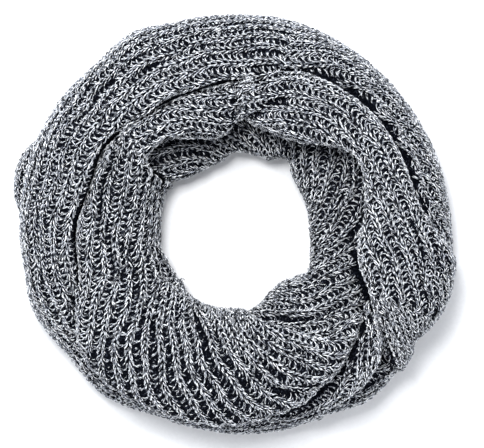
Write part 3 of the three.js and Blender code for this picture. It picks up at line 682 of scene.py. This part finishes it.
# The right stretch
# The other way from the seam, the loop crosses over the outer stretch to the right, and
# goes down over everything to the lower right, where its edge turns under.
right_stretch = {
    "name": "right_stretch",
    "closed": False,
    "lies_on": [under_turn, outer_stretch],
    "cut": (90, 360),
    "chained": ("outer", "inner"),
    "outer_edge": (12, 14),
    "inner_edge": (15, 16),
    "columns": ("turn", "outer", "inner", "lift", "slant", "pitch"),
    "sections": [
        (-41, 210, 176, -1, -2.3, 15),
        (-36, 210, 160, 3, -2.2, 15),
        (-30, 210, 137, 5, -2, 15),
        (-24, 210, 123, 6, -1.9, 15),
        (-18, 210, 110, 6, -1.7, 14.5),
        (-15, 210, 106, 6, -1.6, 14),
        (-8, 190, 102.5, 5, -1.4, 13.5),
        (-3, 177, 103, 5, -1.2, 13),
        (1, 168, 104.5, 5, -1, 13),
        (6, 160, 108, 5, -0.8, 12.5),
        (12, 155.5, 111, 5, -0.6, 12),
        (30, 154, 118, 5, -0.3, 12),
        (38, 153.5, 109.5, 5, -0.3, 12),
        (45, 152, 97.5, 4, -0.4, 12),
        (54, 149, 87.5, 4, -0.5, 12),
        (66, 145, 83.5, 4, -0.7, 12),
        (72, 140, 84, 3, -0.9, 12),
        (80, 132.5, 84, 2, -1.2, 12),
        (89.8, 124, 83, -1, -1.5, 12),
    ],
    "folds": [  # turn, radius, to turn, to radius, depth, width
        (70, 115, 86, 86, 7, 5),
        (-20, 165, 2, 150, 3, 5),
    ],
    "creases": [],
}
right_cloth = cloth_shell(right_stretch, painted_shade_ground)
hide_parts("right_stretch")

# The knitted loops
# The yarn itself: a column of knit stitches on each rib, each two legs in a V, purl bars
# from rib to rib across each furrow, and a chain along the edges on top. It is two plies of
# brushed acrylic and wool, a pale one and a near-black one, twisted together.
stitch_length = 5.35
yarn_radius = 0.52
yarn_sides = 4
path_turn_step = 0.75
path_across = 160
least_run = 4  # steps along a line that has stitches
heading_step = 1.5  # to each side of a stitch, over which its heading is taken
first_stop = 0.9  # of a stitch's length, the furthest that a line's first stitch lies in
edge_margin = 0.3  # inside an edge, where ribs have no loops
edge_inset = 2.0  # of the chain of stitches along an edge
on_table = 5.0  # the height of an edge, below which it has no chain
glimpse = math.radians(7)  # how far in under an inner edge the loops below still show
shown_depth = 6.5  # of a crease, below which its loops are too far in to see
place_spread = 0.25  # how far a stitch strays, as a standard deviation
rise_share = 0.5  # of that, how far it strays up or down
turn_spread = math.radians(6)  # how far it is turned from its rib, in the same way
bend_spread = 0.17  # how far each of its points strays
size_spread = 0.14  # how much longer, wider or higher it may be, as a share
thickness_spread = 0.15  # how much thicker its yarn may be
end_share = 0.6  # of the yarn's thickness, at a strand's ends
yarn_starts = 400  # places along the yarn's pattern where a strand may begin
# The places in a stitch are across its rib, along it and up from the cloth.
knit_leg = [(0.2, -2.6, -1.4), (0.7, -0.8, 0.5), (1.3, 1.3, 1.1), (1.9, 3.4, 0.6), (2.1, 5.2, -1.4)]
knit_side = [(1.4, -2.0, -1.9), (2.1, 0.2, -0.2), (2.8, 2.4, -0.2), (3.4, 4.6, -1.9)]
purl_head = [(-3.8, -1.2, -1.4), (-1.4, 0.9, -2.0), (1.4, 0.9, -2.0), (3.8, -1.2, -1.4)]
purl_foot = [(-3.4, 2.6, -2.2), (-1.2, 0.7, -2.05), (1.2, 0.7, -2.05), (3.4, 2.6, -2.2)]
purl_slant = [(-3.3, -0.8, -1.8), (-1.1, 1.3, -1.85), (1.1, 2.7, -1.9), (3.3, 4.1, -2.2)]
rng = np.random.default_rng(7)


def rib_lines(grid, phase):
    """The lines along the ribs (phase 0.5) or the furrows (phase 0) of a grid of cloth: the
    column of each in every row, and the rows where it lies on the cloth."""
    ribs = grid["ribs"]
    for count in range(math.floor(ribs.min()), math.ceil(ribs.max()) + 1):
        target = count + phase
        column = np.array([np.interp(target, row, np.arange(path_across)) for row in ribs])
        yield column, (target > ribs[:, 0]) & (target < ribs[:, -1])


def edge_lines(grid, edges):
    """The same just inside the outer edge of a stretch, its inner one, or both, but not
    where the edge lies on the table."""
    along = grid["along"]
    insets = {"outer": np.full(len(along), edge_inset), "inner": along[:, -1] - edge_inset}
    for edge in edges:
        column = [np.interp(at, row, np.arange(path_across)) for at, row in zip(insets[edge], along)]
        height = grid["points"][:, 0 if edge == "outer" else -1, 2]
        yield np.array(column), height > on_table * mm


def stitch_places(grid, uppers, lines):
    """The stitches along some lines of a grid of cloth, but not under other stretches: where
    each one is, and the directions across its line, along it and up from the cloth."""
    turns = grid["turns"]
    rows = np.arange(len(turns))
    # Loops are left out of deep creases, where the shell's near-black painted shade shows instead.
    hidden = grid["creased"] > shown_depth
    for upper in uppers:
        hidden |= covers(upper, turns, grid["angles"], glimpse)
    found = []
    for column, inside in lines:
        left = np.clip(column.astype(int), 0, path_across - 2)
        share = (column - left)[:, None]

        def at(values):
            return values[rows, left] * (1 - share) + values[rows, left + 1] * share

        inside &= at(grid["edge"][..., None])[:, 0] > edge_margin
        inside &= ~hidden[rows, left]
        points, ups = at(grid["points"]), at(grid["normals"])
        breaks = np.flatnonzero(np.diff(np.concatenate([[0], inside.astype(int), [0]])))
        for start, end in zip(breaks[::2], breaks[1::2]):
            if end - start < least_run:
                continue
            line, up = points[start:end], ups[start:end]
            steps = np.linalg.norm(np.diff(line, axis=0), axis=1) / mm
            walked = np.concatenate([[0], np.cumsum(steps)])
            start_at = rng.uniform(0, first_stop) * stitch_length
            stops = np.arange(start_at, walked[-1], stitch_length)
            if not len(stops):
                continue

            def along(values, where):
                return np.stack([np.interp(where, walked, values[:, k]) for k in range(3)], axis=-1)

            centre = along(line, stops)
            forward = along(line, stops + heading_step) - along(line, stops - heading_step)
            found.append(np.stack([centre, forward, along(up, stops)], axis=1))
    found = np.concatenate(found)
    centre, forward, up = found[:, 0], found[:, 1], found[:, 2]
    up /= np.linalg.norm(up, axis=1, keepdims=True)
    forward -= up * np.sum(forward * up, axis=1, keepdims=True)
    forward /= np.linalg.norm(forward, axis=1, keepdims=True) + 1e-12
    return centre, np.cross(forward, up), forward, up


def strand_faces(length):
    """The faces of one strand's tube, and their places on it: along the yarn, and round it."""
    ring = np.arange(yarn_sides)
    step = np.arange(length - 1)[:, None]
    following = (ring + 1) % yarn_sides
    quads = np.stack([
        step * yarn_sides + ring,
        step * yarn_sides + following,
        (step + 1) * yarn_sides + following,
        (step + 1) * yarn_sides + ring,
    ], axis=-1).reshape(-1, 4)
    caps = np.array([ring[::-1], ring + (length - 1) * yarn_sides])
    start = np.broadcast_to(step, (length - 1, yarn_sides))
    lengthwise = np.stack([start, start, start + 1, start + 1], axis=-1) / (length - 1)
    around = np.stack([ring, ring + 1, ring + 1, ring], axis=-1) / yarn_sides
    uv = np.stack([lengthwise, np.broadcast_to(around, lengthwise.shape)], axis=-1)
    cap_uv = np.zeros((2, yarn_sides, 2))
    return np.concatenate([quads, caps]), np.concatenate([uv.reshape(-1, 4, 2), cap_uv])


def strands(places, template):
    """Short closed tubes of yarn, one at each place, along a stitch's template."""
    centre, across, forward, up = (value[:, None, :] for value in places)
    count, length = len(centre), len(template)
    turned = rng.normal(0, turn_spread, (count, 1, 1))
    across, forward = (
        across * np.cos(turned) + forward * np.sin(turned),
        forward * np.cos(turned) - across * np.sin(turned),
    )
    sizes = rng.uniform(1 - size_spread, 1 + size_spread, (count, 1, 3))
    shape = np.array(template)[None, :, :] * sizes
    shape = shape + rng.normal(0, bend_spread, (count, length, 3))
    shape = shape + rng.normal(0, place_spread, (count, 1, 3)) * np.array([1, 1, rise_share])
    shape = shape * mm
    line = centre + across * shape[..., :1] + forward * shape[..., 1:2] + up * shape[..., 2:]
    heading = np.gradient(line, axis=1)
    heading /= np.linalg.norm(heading, axis=2, keepdims=True)
    side = np.cross(heading, np.broadcast_to(up, heading.shape))
    side /= np.linalg.norm(side, axis=2, keepdims=True) + 1e-12
    top = np.cross(side, heading)
    thick = np.full(length, yarn_radius * mm)
    thick[[0, -1]] *= end_share
    spread = rng.uniform(1 - thickness_spread, 1 + thickness_spread, (count, 1, 1))
    thick = thick[None, :, None] * spread
    rings = []
    for k in range(yarn_sides):
        around = 2 * math.pi * k / yarn_sides
        rings.append(line + thick * (math.cos(around) * side + math.sin(around) * top))
    points = np.stack(rings, axis=2)
    points[..., 2] = np.maximum(points[..., 2], 0)
    faces, uv = strand_faces(length)
    starts = np.floor(rng.uniform(0, yarn_starts, (count, 1, 1, 1)))
    uv = uv[None] + starts * np.array([1.0, 0.0])
    offsets = np.arange(count)[:, None, None] * (length * yarn_sides)
    return points.reshape(-1, 3), (faces[None] + offsets).reshape(-1, 4), uv.reshape(-1, 2)


def mirrored(template):
    return [(-across, along, up) for across, along, up in template]


def yarn_mesh(name, groups, material):
    """One joined mesh of all the strands in some groups."""
    points, faces, uvs, count = [], [], [], 0
    for group_points, group_faces, uv in groups:
        points.append(group_points)
        faces.append(group_faces + count)
        uvs.append(uv)
        count += len(group_points)
    piece = add_mesh(name, np.concatenate(points), np.concatenate(faces), material)
    layer = piece.data.uv_layers.new(name="along_the_yarn")
    layer.data.foreach_set("uv", np.concatenate(uvs).astype(np.float32).ravel())
    return piece


# Two-ply marl: the plies' twist draws pale and dark slants along the yarn, and brushing
# has raised a matt nap on it. On its map a strand's length is 1, and so is its girth.
marl_yarn = new_material("brushed_marl_yarn")
yarn_place = node(marl_yarn, "ShaderNodeUVMap", {"uv_map": "along_the_yarn"})
twist = node(
    marl_yarn, "ShaderNodeMapping", {"Scale": (1.7, 2.0, 1.0)},
    {"Vector": yarn_place.outputs["UV"]},
)
plies = node(
    marl_yarn, "ShaderNodeTexNoise", {"Scale": 1.5, "Detail": 1.5, "Roughness": 0.6},
    {"Vector": twist.outputs["Vector"]},
)
yarn_colour = ramp(
    marl_yarn, plies.outputs["Fac"],
    [(0.43, "#05070b"), (0.475, "#2f3541"), (0.52, "#b2b9c7"), (0.57, "#fbfdff")],
)
finish_material(
    marl_yarn, yarn_colour, plies.outputs["Fac"],
    distance=0.3 * mm, roughness=0.85, sheen=0.2,
)

for stretch, cloth, uppers in (
    (under_turn, under_cloth, [outer_stretch, left_stretch, right_stretch]),
    (outer_stretch, outer_cloth, [left_stretch, right_stretch]),
    (left_stretch, left_cloth, []),
    (right_stretch, right_cloth, []),
):
    grid = cloth_grid(stretch, path_turn_step, path_across)
    ribs = stitch_places(grid, uppers, rib_lines(grid, 0.5))
    furrows = stitch_places(grid, uppers, rib_lines(grid, 0.0))
    kinds = [
        ("_knit_legs", ribs, [knit_leg, mirrored(knit_leg)]),
        ("_knit_sides", ribs, [knit_side, mirrored(knit_side)]),
        ("_purl_bars", furrows, [purl_head, purl_foot, purl_slant]),
    ]
    if stretch["chained"]:
        edges = stitch_places(grid, uppers, edge_lines(grid, stretch["chained"]))
        kinds.append(("_edge_chain", edges, [knit_leg, mirrored(knit_leg)]))
    for name, places, templates in kinds:
        groups = [strands(places, template) for template in templates]
        yarn_mesh(stretch["name"] + name, groups, marl_yarn)

# The table and the light
# A plain pale table, and a broad soft light from above, with a fainter one all round.
table_size = 3.0
table_gap = 0.5 * mm  # under the scarf, so that their faces don't meet
bpy.ops.mesh.primitive_plane_add(size=table_size, location=(0, 0, -table_gap))
table = bpy.context.object
table.name = "table"
table_finish = new_material("matt_white_board")
board_place = node(table_finish, "ShaderNodeTexCoord")
grain = node(
    table_finish, "ShaderNodeTexNoise", {"Scale": 1 / (3 * mm), "Detail": 2.0},
    {"Vector": board_place.outputs["Object"]},
)
board_colour = ramp(table_finish, grain.outputs["Fac"], [(0.3, "#f4f5f7"), (0.7, "#f8f9fb")])
finish_material(
    table_finish, board_colour, grain.outputs["Fac"],
    distance=0.02 * mm, roughness=0.8, sheen=0.0,
)
table.data.materials.append(table_finish)


def soft_light(name, size, power, location):
    """A square area light that faces the scarf."""
    data = bpy.data.lights.new(name, "AREA")
    data.shape = "SQUARE"
    data.size = size
    data.energy = power
    light = bpy.data.objects.new(name, data)
    light.location = location
    x, y, z = location
    light.rotation_euler = (math.atan2(math.hypot(x, y), z), 0, math.atan2(x, -y))
    bpy.context.collection.objects.link(light)


soft_light("key", size=0.7, power=33, location=(-0.3, 0.65, 1.6))
# The room is a light tent: its walls are bright, and its roof is darker.
tent_wall = 2.6
tent_roof = 0.1
tent = bpy.data.worlds.new("light_tent")
tent.use_nodes = True
tent.node_tree.nodes.clear()
direction = node(tent, "ShaderNodeTexCoord")
upwards = node(tent, "ShaderNodeSeparateXYZ", links={"Vector": direction.outputs["Generated"]})
brightness = node(
    tent, "ShaderNodeMapRange", {"To Min": tent_wall, "To Max": tent_roof},
    {"Value": upwards.outputs["Z"]},
)
glow = node(
    tent, "ShaderNodeBackground", {"Color": linear("#f4f6fa")},
    {"Strength": brightness.outputs["Result"]},
)
node(tent, "ShaderNodeOutputWorld", links={"Surface": glow.outputs["Background"]})
bpy.context.scene.world = tent
